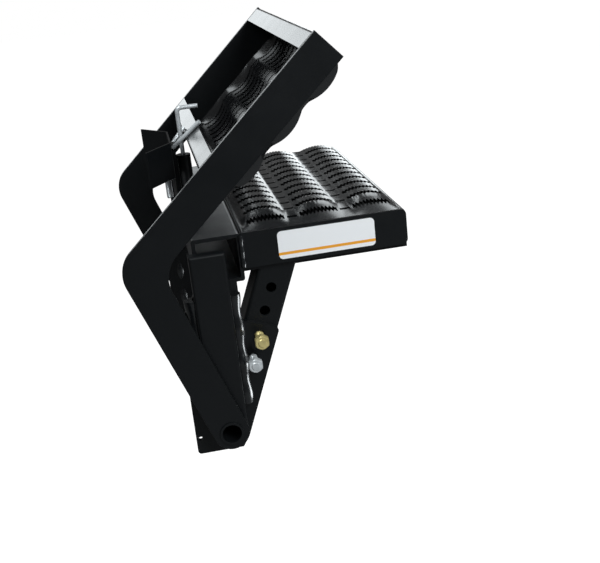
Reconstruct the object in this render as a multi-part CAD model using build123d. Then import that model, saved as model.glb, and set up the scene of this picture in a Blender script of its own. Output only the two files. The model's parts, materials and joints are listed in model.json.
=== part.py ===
"""Folding two-tread step for a 50 mm hitch receiver, drawn folded up for travel.

X points towards the vehicle, Y across it and Z up. The step is drawn about the fold pivot at mid-width, and
each piece is then moved so that the origin is the centre of the hitch pin hole in the shank.
"""

import os
from math import cos, hypot, radians, sin, tan

from build123d import *

# Grip plank, folded from one sheet and used for both treads
PLANK_WIDTH = 176.0
PLANK_DEPTH = 38.1
PLANK_GAUGE = 2.0
PLANK_BEND = 5.0
LIP_WIDTH = 22.0
HUMP_ROWS = 3
HUMP_WIDTH = 46.0
HUMP_HEIGHT = 11.0
HUMP_PITCH = 57.0
HUMP_RIM = 3.0
VALLEY_HEIGHT = 4.8
PANEL_SIDE_RUN = 11.0
PANEL_END_RIM = 4.0
SLIT_PITCH = 25.4
SLIT_WIDTH = 4.0
SLOT_WIDTH = 11.0
SLOT_LENGTH = 5.0

# Upper step
UPPER_LENGTH = 355.6
UPPER_HEIGHT = 210.0
UPPER_NEAR_RAMP = 40.0
UPPER_FAR_RAMP = 22.0
UPPER_SLIT_MARGIN = 11.5
END_PLATE = 3.0
END_CORNER = 6.0
LABEL_LENGTH = 103.0
LABEL_HEIGHT = 30.0
LABEL_THICK = 0.6
LABEL_CORNER = 4.5
LABEL_START = 38.0
BEARER_WIDTH = 38.1
BEARER_THICK = 4.76

# Cross tube, square and open at both ends
TUBE_SIZE = 50.8
TUBE_WALL = 4.0
TUBE_CORNER = 3.0
TUBE_BACK = 13.7

# Hitch shank, a square tube under the upper step
SHANK_SIZE = 50.8
SHANK_WALL = 6.35
SHANK_CORNER = 4.0
SHANK_PAST_STEP = 25.0
HITCH_HOLE = 16.3
HITCH_HOLE_SETBACK = 51.5

# Side plates, each with an inclined lug, and the upright legs outside them
SIDE_THICK = 6.35
SIDE_BACK = 38.0
SIDE_SHOULDER = 120.0
SIDE_FRONT = 28.0
SIDE_FOOT = 30.0
SIDE_TOE = 12.0
SIDE_CORNER = 4.0
TIE_HOLE = 5.0
TIE_HOLE_INSET = 5.0
TIE_HOLE_RISE = 18.0
LEG_WIDTH = 38.1
LEG_THICK = 12.7
LEG_ROUND = 3.0
LEG_TOP_DROP = 14.0

# Braces, square tubes bolted to the lugs through a row of holes
BRACE_SIZE = 38.1
BRACE_WALL = 3.0
BRACE_CORNER = 4.0
BRACE_LEAN = 21.5
BRACE_SHIFT = 6.0
BRACE_FOOT_EDGE = 17.0
BRACE_HOLE = 11.0
BRACE_HOLES = 4
BRACE_HOLE_FIRST = 79.0
BRACE_TOP_EDGE = 23.8
LUG_EDGE = 12.6
BOLT_COUNT = 2
BOLT_SIZE = 9.5
BOLT_FLATS = 14.3
BOLT_HEAD = 6.2
BOLT_REACH = 24.0
NUT_HEIGHT = 8.3
NUT_SETBACK = 1.0

# Cranked arms on the pivot tube, and the lower step between them
ARM_THICK = 6.35
ARM_ROUND = 0.8
LOWER_LIMB = 204.7
UPPER_LIMB = 291.0
LOWER_LEAN = 19.8
UPPER_LEAN = 47.2
LOWER_RAMP = 6.0
LOWER_SLIT_MARGIN = 12.0
ELBOW_OUTER = 34.0
ELBOW_INNER = 36.0
PIVOT_SIZE = 25.4
PIVOT_WALL = 2.4
PIVOT_PROUD = 1.6
SPACER_SIZE = 34.0
SPACER_LENGTH = 4.15

# Latch tower on the folding step: a barrel whose pin drops into the cross tube
LOCK_PIN_SIZE = 5.0
LOCK_PIN_OVER_LIP = 18.0
LOCK_PIN_HANDLE = 24.0
LOCK_PIN_BEND = 5.0
LOCK_LIP_GAP = 0.8
KEEPER_HOLE = 6.0
BARREL_SIZE = 16.6
TOWER_LIFT = 2.6
BARREL_DROP = 14.4
BAR_THICK = 4.8
BAR_WIDTH = 16.0
BAR_DROP = 6.2
GUARD_RISE = 7.4
GUARD_HEIGHT = 40.0
GUARD_SHEET = 2.0
GUARD_WEB = 73.0
GUARD_MOUTH = 156.0
GUARD_DEPTH = 29.0
GUARD_BEND = 5.0
STAY_SIZE = 5.0
STAY_SPLAY = 26.0
STAY_OVER_LIP = 27.0
STAY_FAR_LENGTH = 26.0
TAB_LENGTH = 18.0
TAB_WIDTH = 22.0
TAB_THICK = 3.0
TAB_BOLT_SIZE = 7.9
TAB_BOLT_FLATS = 12.7
TAB_BOLT_HEAD = 5.0
TAB_BOLT_LENGTH = 31.0
TAB_BOLT_GAP = 0.5
TAB_NUT_HEIGHT = 6.7

# Fits
RUNNING_GAP = 0.05
SIDE_GAP = 0.4


def square_tube(size, wall, corner):
    """Section of a square tube with rounded corners."""
    bore = size - 2 * wall
    return RectangleRounded(size, size, corner) - RectangleRounded(bore, bore, max(corner - wall, 0.5))


def slab(sketch, y_low, y_high):
    """A sketch of X and Z, made solid from y_low to y_high."""
    plane = Plane((0, y_high, 0), x_dir=(1, 0, 0), z_dir=(0, -1, 0))
    return extrude(plane * sketch, y_high - y_low)


def rod(size, y_low, y_high, x=0.0, z=0.0):
    """A round bar along Y."""
    return Pos(x, (y_low + y_high) / 2, z) * Rot(90, 0, 0) * Cylinder(size / 2, y_high - y_low)


def upright(size, z_low, z_high, x):
    """A round bar along Z at mid-width."""
    return Pos(x, 0, (z_low + z_high) / 2) * Cylinder(size / 2, z_high - z_low)


def hexagon(flats, height):
    """A hexagonal prism standing on the X-Y plane."""
    return extrude(RegularPolygon(flats / 2, 6, major_radius=False, rotation=30), height)


def both_sides(near):
    """A near piece and its mirror image on the far side."""
    return near, mirror(near, Plane.XZ)


def flat(point):
    """A point's X and Z, for a sketch in that plane."""
    return (point.X, point.Z)


def direction(angle):
    """A unit vector in X and Z, its angle measured from X towards Z."""
    return Vector(cos(radians(angle)), 0, sin(radians(angle)))


def quarter_right(vector):
    """The vector turned a quarter turn clockwise in X and Z."""
    return Vector(vector.Z, 0, -vector.X)


# Grip plank: a channel with inward lips and a raised panel of round humps cut into strands

hump_rows = [(row - (HUMP_ROWS - 1) / 2) * HUMP_PITCH for row in range(HUMP_ROWS)]


def sloped(base, runs, inset, low):
    """A trapezoid from Z = low up, each side sloping in by its run over the humps' height, less an inset."""
    corners = []
    for side, run in zip((-1, 1), runs):
        foot = base / 2 - inset * hypot(run, HUMP_HEIGHT) / HUMP_HEIGHT
        ends = [(side * (foot - z * run / HUMP_HEIGHT), z) for z in (low, 2 * HUMP_HEIGHT)]
        corners += ends[::-side]
    return make_face(Polyline(*corners, close=True))


def raised_panel(length, ramps, inset, low, rim):
    """Humps and valleys over the border strips, with sloping sides and ends, less an inset all round."""
    rise = HUMP_HEIGHT - VALLEY_HEIGHT
    crown = (HUMP_WIDTH**2 / 4 + rise**2) / (2 * rise)
    end = length / 2 - rim
    valley = VALLEY_HEIGHT - inset
    floor = Pos(0, 0, (valley + low) / 2) * Box(PLANK_WIDTH, 2 * end, valley - low)
    bars = [rod(2 * (crown - inset), -end, end, x, HUMP_HEIGHT - crown) for x in hump_rows]
    side_runs = (PANEL_SIDE_RUN, PANEL_SIDE_RUN)
    sides = slab(sloped(PLANK_WIDTH - 2 * PLANK_BEND, side_runs, inset, low), -end, end)
    ends = extrude(Plane.YZ * sloped(length, ramps, inset, low), PLANK_WIDTH, both=True)
    return (floor + bars) & sides & ends


def plank(length, ramps, margin):
    """A grip plank along Y, centred, with the top of its border strips at Z = 0."""
    channel = RectangleRounded(PLANK_WIDTH, PLANK_DEPTH, PLANK_BEND) - RectangleRounded(
        PLANK_WIDTH - 2 * PLANK_GAUGE, PLANK_DEPTH - 2 * PLANK_GAUGE, max(PLANK_BEND - PLANK_GAUGE, 0.5)
    )
    channel -= Pos(0, -PLANK_DEPTH / 2) * Rectangle(PLANK_WIDTH - 2 * LIP_WIDTH, 3 * PLANK_GAUGE)
    sheet = slab(Pos(0, -PLANK_DEPTH / 2) * channel, -length / 2, length / 2)
    sheet += raised_panel(length, ramps, 0, -PLANK_GAUGE / 2, 0)
    sheet -= raised_panel(length, ramps, PLANK_GAUGE, -2 * PLANK_GAUGE, PANEL_END_RIM)

    count = int((length - 2 * margin - SLIT_WIDTH) / SLIT_PITCH) + 1
    stations = [(n - (count - 1) / 2) * SLIT_PITCH for n in range(count)]
    valleys = [(low + high) / 2 for low, high in zip(hump_rows, hump_rows[1:])]
    reach = 2 * (HUMP_HEIGHT + 2 * PLANK_GAUGE)
    slit = Box(HUMP_WIDTH - 2 * HUMP_RIM, SLIT_WIDTH, reach)
    cuts = [Pos(x, y) * slit for x in hump_rows for y in stations]
    cuts += [Pos(x, y) * Box(SLOT_WIDTH, SLOT_LENGTH, reach) for x in valleys for y in stations]
    return sheet - cuts


# Levels and layers that several pieces share

tube_front = TUBE_SIZE - TUBE_BACK
tube_mid = tube_front - TUBE_SIZE / 2
tube_bottom = UPPER_HEIGHT - TUBE_SIZE
step_mid = tube_front + PLANK_WIDTH / 2
step_front = tube_front + PLANK_WIDTH
step_bottom = UPPER_HEIGHT - PLANK_DEPTH
step_end = UPPER_LENGTH / 2
plank_end = step_end - END_PLATE
side_inner = step_end - SIDE_THICK
leg_outer = step_end + LEG_THICK
leg_top = UPPER_HEIGHT - LEG_TOP_DROP
arm_inner = leg_outer + SPACER_LENGTH + SIDE_GAP
arm_outer = arm_inner + ARM_THICK

# Upper step: plank, end plates and label

upper_ramps = (UPPER_NEAR_RAMP, UPPER_FAR_RAMP)
upper_tread = Pos(step_mid, 0, UPPER_HEIGHT) * plank(2 * plank_end, upper_ramps, UPPER_SLIT_MARGIN)
end_outline = Pos(step_mid, UPPER_HEIGHT - PLANK_DEPTH / 2) * Rectangle(PLANK_WIDTH, PLANK_DEPTH)
end_outline = fillet(end_outline.vertices().group_by(Axis.X)[-1], END_CORNER)
upper_end_near, upper_end_far = both_sides(slab(end_outline, -step_end, -plank_end))
label_outline = Pos(tube_front + LABEL_START + LABEL_LENGTH / 2, UPPER_HEIGHT - PLANK_DEPTH / 2)
label_outline *= RectangleRounded(LABEL_LENGTH, LABEL_HEIGHT, LABEL_CORNER)
label = slab(label_outline, -step_end - LABEL_THICK, -step_end)

# Bearers, flat bars welded under the plank's lips

bearer_bottom = step_bottom - BEARER_THICK
bearer_outline = Pos(step_mid, step_bottom - BEARER_THICK / 2) * Rectangle(PLANK_WIDTH, BEARER_THICK)
bearer_near, bearer_far = both_sides(slab(bearer_outline, -side_inner, -side_inner + BEARER_WIDTH))

# Fold lines, and the latch line just behind the folded step's lip

limb = direction(90 - UPPER_LEAN)
facing = quarter_right(limb)
shin = direction(90 + LOWER_LEAN)
shin_front = quarter_right(shin)
half_arm = PLANK_DEPTH / 2
elbow = shin * LOWER_LIMB
tip = elbow + limb * UPPER_LIMB
lip_edge = tip - limb * PLANK_WIDTH - facing * half_arm
lock_x = lip_edge.X - LOCK_LIP_GAP - LOCK_PIN_SIZE / 2

# Cross tube with its keeper hole, and the hitch shank coped under it

tube_outline = Pos(tube_mid, UPPER_HEIGHT - TUBE_SIZE / 2) * square_tube(TUBE_SIZE, TUBE_WALL, TUBE_CORNER)
cross_tube = slab(tube_outline, -step_end, step_end)
cross_tube -= upright(KEEPER_HOLE, UPPER_HEIGHT - 2 * TUBE_WALL, UPPER_HEIGHT + TUBE_WALL, lock_x)

shank_mid = step_bottom - SHANK_SIZE / 2
shank_end = step_front + SHANK_PAST_STEP
hitch_x = shank_end - HITCH_HOLE_SETBACK
shank_start = Plane((-TUBE_BACK, 0, shank_mid), x_dir=(0, 1, 0), z_dir=(1, 0, 0))
shank_section = square_tube(SHANK_SIZE, SHANK_WALL, SHANK_CORNER)
hitch_shank = extrude(shank_start * shank_section, shank_end + TUBE_BACK)
hitch_shank -= Pos(tube_mid, 0, UPPER_HEIGHT - TUBE_SIZE / 2) * Box(TUBE_SIZE, 2 * SHANK_SIZE, TUBE_SIZE)
hitch_shank -= rod(HITCH_HOLE, -SHANK_SIZE, SHANK_SIZE, hitch_x, shank_mid)

# Braces, leaning towards the vehicle and cut level under the bearers

lean = direction(90 - BRACE_LEAN)
across = quarter_right(lean)
brace_line = across * BRACE_SHIFT
brace_length = (bearer_bottom - brace_line.Z) / lean.Z
hole_pitch = (brace_length - BRACE_TOP_EDGE - BRACE_HOLE_FIRST) / (BRACE_HOLES - 1)
holes = [brace_line + lean * (BRACE_HOLE_FIRST + n * hole_pitch) for n in range(BRACE_HOLES)]
bolt_holes = holes[:BOLT_COUNT]
brace_mid = side_inner - BRACE_SIZE / 2
brace_start = brace_line + lean * (BRACE_HOLE_FIRST - BRACE_FOOT_EDGE) - Vector(0, brace_mid, 0)
brace_plane = Plane(brace_start, x_dir=tuple(across), z_dir=tuple(lean))
brace = extrude(brace_plane * square_tube(BRACE_SIZE, BRACE_WALL, BRACE_CORNER), 2 * UPPER_HEIGHT)
brace -= Pos(0, 0, bearer_bottom) * Box(
    8 * UPPER_HEIGHT, 4 * step_end, 4 * UPPER_HEIGHT, align=(Align.CENTER, Align.CENTER, Align.MIN)
)
brace -= [rod(BRACE_HOLE, -step_end, 0, *flat(hole)) for hole in holes]
brace_near, brace_far = both_sides(brace)

# Side plates and legs

lug_top = bolt_holes[-1] + lean * LUG_EDGE
lug_front = lug_top + across * (BRACE_SIZE / 2)
lug_back = lug_top - across * (BRACE_SIZE / 2)
lug_toe = brace_line + across * (BRACE_SIZE / 2) - lean * (SIDE_FOOT / 3)
side_corners = [
    (-SIDE_BACK, -SIDE_FOOT),
    (SIDE_TOE, -SIDE_FOOT),
    flat(lug_toe),
    flat(lug_front),
    flat(lug_back),
    (SIDE_FRONT, lug_back.Z),
    (SIDE_FRONT, tube_bottom),
    (-TUBE_BACK, tube_bottom),
    (-SIDE_BACK, SIDE_SHOULDER),
]
side_outline = make_face(Polyline(*side_corners, close=True))
for corner in (side_corners[0], flat(lug_front)):
    side_outline = fillet(side_outline.vertices().sort_by_distance((*corner, 0))[0], SIDE_CORNER)
side_outline -= [Pos(*flat(hole)) * Circle(BRACE_HOLE / 2) for hole in bolt_holes]
side_outline -= Circle(PIVOT_SIZE / 2)
side_outline -= Pos(-SIDE_BACK + TIE_HOLE_INSET, -SIDE_FOOT + TIE_HOLE_RISE) * Circle(TIE_HOLE / 2)
side_plate_near, side_plate_far = both_sides(slab(side_outline, -step_end, -side_inner))

leg_outline = Pos(0, leg_top / 2) * Rectangle(LEG_WIDTH, leg_top) + Circle(LEG_WIDTH / 2)
leg = slab(leg_outline, -leg_outer, -step_end)
leg = fillet(leg.faces().sort_by(Axis.Y)[0].outer_wire().edges(), LEG_ROUND)
leg -= rod(PIVOT_SIZE, -2 * leg_outer, 0)
leg_near, leg_far = both_sides(leg)

# Bolts of the braces, with a nut near each outer end


def on_brace(piece, y):
    """Turns a piece from Z to face out and sets one, and its mirror image, at each bolt hole."""
    turned = [Pos(hole.X, -y, hole.Z) * Rot(90, 0, 0) * piece for hole in bolt_holes]
    return [copy for near in turned for copy in both_sides(near)]


bolt_seat = side_inner - BRACE_SIZE
bolt_tip = step_end + BOLT_REACH
shaft = extrude(Circle(BOLT_SIZE / 2), bolt_tip - bolt_seat)
shaft = chamfer(shaft.edges().sort_by(Axis.Z)[-1], BOLT_SIZE / 10)
bolt = shaft + Pos(0, 0, -BOLT_HEAD) * hexagon(BOLT_FLATS, BOLT_HEAD)
nut = hexagon(BOLT_FLATS, NUT_HEIGHT) - Cylinder(BOLT_SIZE / 2, 4 * NUT_HEIGHT)
brace_bolts = on_brace(bolt, bolt_seat)
brace_nuts = on_brace(nut, bolt_tip - NUT_SETBACK - NUT_HEIGHT)

# Pivot: an open tube through both side frames, with spacers inside the arms

pivot_end = arm_outer + PIVOT_PROUD
pivot_bore = PIVOT_SIZE - 2 * PIVOT_WALL
pivot_tube = rod(PIVOT_SIZE, -pivot_end, pivot_end) - rod(pivot_bore, -pivot_end, pivot_end)
spacer = rod(SPACER_SIZE, -leg_outer - SPACER_LENGTH, -leg_outer) - rod(PIVOT_SIZE, -arm_inner, -leg_outer)
pivot_spacers = both_sides(spacer)

# Cranked arms that turn on the pivot tube

crank = half_arm * tan(radians(LOWER_LEAN + UPPER_LEAN) / 2)
elbow_out = elbow - shin_front * half_arm + shin * crank
elbow_in = elbow + shin_front * half_arm - shin * crank
heel_out, heel_in, heel = shin_front * -half_arm, shin_front * half_arm, shin * -half_arm
arm_corners = [heel_out, elbow_out, tip - facing * half_arm, tip + facing * half_arm, elbow_in, heel_in]
heel_arc = ThreePointArc(flat(heel_in), flat(heel), flat(heel_out))
arm_outline = make_face(Polyline(*[flat(corner) for corner in arm_corners]) + heel_arc)
for corner, radius in ((elbow_out, ELBOW_OUTER), (elbow_in, ELBOW_INNER)):
    arm_outline = fillet(arm_outline.vertices().sort_by_distance((*flat(corner), 0))[0], radius)
arm_outline -= Circle(PIVOT_SIZE / 2 + RUNNING_GAP)
arm = slab(arm_outline, -arm_outer, -arm_inner)
arm_faces = arm.faces().sort_by(Axis.Y)
arm = fillet(arm_faces[0].outer_wire().edges() + arm_faces[-1].outer_wire().edges(), ARM_ROUND)
arm_near, arm_far = both_sides(arm)

# Lower step: the same plank between the arms, its lips flush with their outer edges

lower_mid = tip - limb * (PLANK_WIDTH / 2) + facing * half_arm
lower_plane = Plane(lower_mid, x_dir=tuple(limb), z_dir=tuple(facing))
lower_tread = lower_plane.location * plank(2 * arm_inner, (LOWER_RAMP, LOWER_RAMP), LOWER_SLIT_MARGIN)

# Latch tower: barrel, backing bar, flared guard, stays up to the lip, and a bolted tab

tower_low = UPPER_HEIGHT + TOWER_LIFT
bar_top = lip_edge.Z - BAR_DROP
barrel_top = bar_top - BARREL_DROP
latch_barrel = upright(BARREL_SIZE, tower_low, barrel_top, lock_x)
latch_barrel -= upright(LOCK_PIN_SIZE + 2 * RUNNING_GAP, tower_low, barrel_top, lock_x)
bar_front = lock_x - BARREL_SIZE / 2
bar_back = bar_front - BAR_THICK
latch_bar = Pos(bar_back, 0, tower_low) * Box(
    BAR_THICK, BAR_WIDTH, bar_top - tower_low, align=(Align.MIN, Align.CENTER, Align.MIN)
)

guard_low = bar_top + GUARD_RISE - GUARD_HEIGHT
guard_path = FilletPolyline(
    (bar_back - GUARD_DEPTH, -GUARD_MOUTH / 2),
    (bar_back, -GUARD_WEB / 2),
    (bar_back, GUARD_WEB / 2),
    (bar_back - GUARD_DEPTH, GUARD_MOUTH / 2),
    radius=GUARD_BEND,
)
guard_outline = make_face(offset(guard_path, GUARD_SHEET, side=Side.LEFT))
latch_guard = Pos(0, 0, guard_low) * extrude(guard_outline, GUARD_HEIGHT)

guard_tab = Pos(bar_back, 0, guard_low) * Box(
    TAB_LENGTH, TAB_WIDTH, TAB_THICK, align=(Align.MAX, Align.CENTER, Align.MAX)
)
tab_bolt_x = bar_back - GUARD_SHEET - TAB_BOLT_FLATS / 2 - TAB_BOLT_GAP
tab_shaft = upright(TAB_BOLT_SIZE, guard_low - TAB_BOLT_LENGTH, guard_low, tab_bolt_x)
guard_tab -= tab_shaft
guard_bolt = tab_shaft + Pos(tab_bolt_x, 0, guard_low) * hexagon(TAB_BOLT_FLATS, TAB_BOLT_HEAD)
tab_nut_low = guard_low - TAB_THICK - TAB_NUT_HEIGHT
guard_nut = Pos(tab_bolt_x, 0, tab_nut_low) * hexagon(TAB_BOLT_FLATS, TAB_NUT_HEIGHT) - tab_shaft

# Lock pin with its bent handle

pin_top = (lip_edge + limb * LIP_WIDTH).Z + LOCK_PIN_OVER_LIP
pin_foot, pin_corner = (lock_x, 0, tower_low), (lock_x, 0, pin_top)
handle_end = (lock_x + LOCK_PIN_HANDLE, 0, pin_top)
pin_path = FilletPolyline(pin_foot, pin_corner, handle_end, radius=LOCK_PIN_BEND)
lock_pin = sweep(Plane(pin_foot) * Circle(LOCK_PIN_SIZE / 2), path=pin_path)

# Stays, splayed round bars from the backing bar's sides up over the lip, the far one shorter

stay_foot = lip_edge - facing * (STAY_SIZE / 2)
stay_drop = (stay_foot.X - bar_back - BAR_THICK / 2) / limb.X
stay_side = (BAR_WIDTH + STAY_SIZE) / 2
stay_low = stay_foot - limb * stay_drop - Vector(0, stay_side, 0)
stay_high = stay_foot + limb * STAY_OVER_LIP - Vector(0, stay_side + STAY_SPLAY, 0)
stay_plane = Plane(stay_low, z_dir=tuple(stay_high - stay_low))
stay_near = extrude(stay_plane * Circle(STAY_SIZE / 2), (stay_high - stay_low).length)
stay_far = mirror(extrude(stay_plane * Circle(STAY_SIZE / 2), STAY_FAR_LENGTH), Plane.XZ)
latch_stays = [stay_near, stay_far]

# Every piece by name

pieces = {
    "cross_tube": cross_tube,
    "hitch_shank": hitch_shank,
    "side_plate_near": side_plate_near,
    "side_plate_far": side_plate_far,
    "leg_near": leg_near,
    "leg_far": leg_far,
    "brace_near": brace_near,
    "brace_far": brace_far,
    "brace_bolts": Compound(brace_bolts),
    "brace_nuts": Compound(brace_nuts),
    "upper_tread": upper_tread,
    "upper_end_near": upper_end_near,
    "upper_end_far": upper_end_far,
    "label": label,
    "bearer_near": bearer_near,
    "bearer_far": bearer_far,
    "pivot_tube": pivot_tube,
    "pivot_spacers": Compound(pivot_spacers),
    "arm_near": arm_near,
    "arm_far": arm_far,
    "lower_tread": lower_tread,
    "latch_barrel": latch_barrel,
    "latch_bar": latch_bar,
    "latch_guard": latch_guard,
    "latch_stays": Compound(latch_stays),
    "guard_tab": guard_tab,
    "guard_bolt": guard_bolt,
    "guard_nut": guard_nut,
    "lock_pin": lock_pin,
}

os.makedirs("parts", exist_ok=True)
for name, piece in pieces.items():
    export_step(Pos(-hitch_x, 0, -shank_mid) * piece, f"parts/{name}.step")
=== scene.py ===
"""Looks of a folding receiver step: coated steel, toothed grip treads, bolts, weld beads and a studio."""

import json
from math import cos, hypot, pi, radians, sin, sqrt

import bmesh
import bpy
from bpy.props import FloatProperty, FloatVectorProperty, IntProperty, PointerProperty
from mathutils import Matrix, Vector


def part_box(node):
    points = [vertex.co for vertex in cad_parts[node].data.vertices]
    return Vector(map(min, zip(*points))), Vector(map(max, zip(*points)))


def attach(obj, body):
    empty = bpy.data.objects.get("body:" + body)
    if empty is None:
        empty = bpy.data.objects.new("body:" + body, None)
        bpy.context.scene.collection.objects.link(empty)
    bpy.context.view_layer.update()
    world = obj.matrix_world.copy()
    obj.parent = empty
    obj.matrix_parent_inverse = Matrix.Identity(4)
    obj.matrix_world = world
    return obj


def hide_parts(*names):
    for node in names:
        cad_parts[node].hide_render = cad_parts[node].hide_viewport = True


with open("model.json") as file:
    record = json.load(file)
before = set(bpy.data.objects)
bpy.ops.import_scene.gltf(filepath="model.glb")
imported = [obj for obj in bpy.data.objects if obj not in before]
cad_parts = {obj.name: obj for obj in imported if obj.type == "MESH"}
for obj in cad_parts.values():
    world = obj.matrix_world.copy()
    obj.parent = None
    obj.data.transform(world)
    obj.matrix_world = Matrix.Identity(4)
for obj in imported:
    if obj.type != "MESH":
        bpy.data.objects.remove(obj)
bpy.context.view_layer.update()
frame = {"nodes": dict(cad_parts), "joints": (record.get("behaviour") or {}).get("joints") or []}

bl_info = {
    "name": "Receiver Step Finish",
    "version": (1, 0, 0),
    "blender": (4, 5, 0),
    "location": "View3D > Sidebar > Receiver Step",
    "description": "Dresses a folding receiver step with grip treads, bolts, welds and coats, in a studio",
    "category": "Object",
}

MM = 0.001

# Grid of the planks: shares of the rim, slot and end ramp, steps of the folds, and reach of the teeth

FLANK_SHARES = (0.4, 0.75, 1.1, 1.5, 2.0)
SLOT_SHARES = (-0.5, -0.25, 0.0, 0.25, 0.5)
RAMP_SHARES = (1.0, 0.85, 0.7, 0.55, 0.4, 0.25, 0.12)
TOOTH_STEPS = 4
FOLD_STEPS = 5
RAIL_STEPS = 3
LIP_STEPS = 3
TOOTH_REACH = 4.5 * MM
TOOTH_FADE = 2 * MM
PLACE_GAP = 0.1 * MM
RAMP_GAP = 0.3 * MM
EDGE_SLACK = 0.001 * MM
MERGE_GAP = 0.002 * MM
SHARP_ANGLE = 38.0

# Rings of the bolts: points to a ring, rings to a thread's turn, and a thread's depth as a share of its pitch

RING_STEPS = 48
THREAD_RINGS = 6
THREAD_SHARE = 0.5

# Cut corners of a hexagon: their reach over its flats, and how many cuts would fill its height

CORNER_FACE, CORNER_MIDDLE, CORNER_FULL = 0.48, 0.53, 0.6
CUTS_TO_HEIGHT = 6

# Tip of a bolt, as shares of its size

TIP_LENGTH = 0.1
TIP_SIZE = 0.8

# Weld beads: distance between rings, points to a ring, and how far they stand off as shares of their radius

BEAD_STEP = 0.8 * MM
BEAD_SIDES = 20
BEAD_OFF_EDGE = 0.3
BEAD_OFF_PLATE = 0.1

# Ends of the weld beads, from the ends of the pieces that they join

LEG_BEAD_FOOT = 42 * MM
LEG_BEAD_HEAD = 12 * MM
STEP_BEAD_INSET = 2 * MM
BARREL_BEAD_FOOT = 4 * MM
LATCH_BEAD_INSET = 3 * MM

# Coats by peel scale, bump, least and most roughness, dust and specular level, and the cut edge's painted
# shade

COATS = {
    "satin_black_coat": (1500.0, 0.25, 0.30, 0.38, 0.05, 0.25),
    "gloss_tread_coat": (900.0, 0.02, 0.18, 0.21, 0.02, 0.5),
    # The cut edge coat is painted shade: dark, rough and dull, so that the slits render as shaded gaps
    "cut_edge": (900.0, 0.0, 0.6, 0.7, 0.0, 0.1),
    "weld_coat": (500.0, 0.1, 0.2, 0.26, 0.03, 0.5),
}
# Share of the tread coat's colour left on the cut edges, darkened as painted shade for the slits
EDGE_PAINTED_SHADE = 0.3
PEEL_DEPTH = 0.1 * MM

# Foot and head of the label's band, as shares of the label's height

BAND_FOOT, BAND_HEAD = 0.14, 0.24

# Colour sockets of a Mix node

MIX_FIRST, MIX_SECOND, MIX_RESULT = 6, 7, 2

# Camera, in metres about the hitch pin

CAMERA_PLACE = (-0.2341, -1.1884, 0.3538)
CAMERA_BACK = (-0.1308, -0.9363, 0.3259)
CAMERA_UP = (0.1549, 0.3054, 0.9395)

# Lamps by place, target, size, watts, pieces lit (none for all), and whether only the floor shades them

LATCH_PIECES = ("latch_stays", "latch_barrel")
FOLDING_PIECES = ("lower_grip_plank", "arm_near", "arm_far")
LAMPS = (
    ("lip_box", (-0.48, 2.2, 0.42), (-0.1, 0.0, 0.15), (1.05, 0.95), 6.0, FOLDING_PIECES, False),
    ("flank_box", (0.58, 2.2, 0.2), (0.0, 0.0, 0.05), (0.5, 0.4), 2.0, (), False),
    ("tube_box", (-0.05, 2.2, 0.8), (0.0, 0.0, 0.05), (1.4, 1.1), 9.0, ("cross_tube",), False),
    ("left_sky", (-0.35, 2.2, 1.7), (0.0, 0.0, 0.0), (0.7, 1.1), 11.0, ("upper_grip_plank",), True),
    ("right_sky", (0.78, 2.2, 1.55), (0.0, 0.0, 0.0), (0.6, 0.9), 6.0, ("upper_grip_plank",), True),
    ("right_box", (0.55, -0.05, -0.36), (-0.17, -0.18, -0.07), (0.6, 0.3), 9.0, ("frame_beads",), True),
    ("stay_box", (-1.3, -1.3, 0.5), (-0.2, 0.0, 0.1), (0.9, 0.9), 14.0, LATCH_PIECES, False),
    ("metal_box", (-0.9, -0.4, 1.6), (-0.2, 0.0, 0.1), (0.8, 0.8), 14.0, (), False),
    ("key_box", (0.9, -1.9, 1.4), (-0.1, 0.0, 0.0), (1.2, 1.2), 55.0, (), False),
)
LAMP_TINT = (0.92, 0.975, 1.0)
WORLD_STRENGTH = 0.14
FLOOR_REACH = 12.0
FLOOR_TONE = 0.3
FLOOR_GLOW = 0.98

# Nodes by finish

COATED = (
    "cross_tube", "hitch_shank", "side_plate_near", "side_plate_far", "leg_near", "leg_far",
    "brace_near", "brace_far", "upper_end_near", "upper_end_far", "bearer_near", "bearer_far",
    "pivot_tube", "pivot_spacers", "arm_near", "arm_far", "latch_bar", "latch_guard", "guard_tab",
    "latch_barrel",
)
PLATED = ("brace_bolts", "brace_nuts", "guard_bolt", "guard_nut", "latch_stays", "lock_pin")


# Settings


def length(name, description, default):
    """A length in metres."""
    return FloatProperty(
        name=name, description=description, default=default, min=0.0, unit="LENGTH", precision=5
    )


def colour(name, description, default):
    """A linear colour."""
    return FloatVectorProperty(
        name=name, description=description, default=default, size=3, subtype="COLOR", min=0.0, max=1.0
    )


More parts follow.
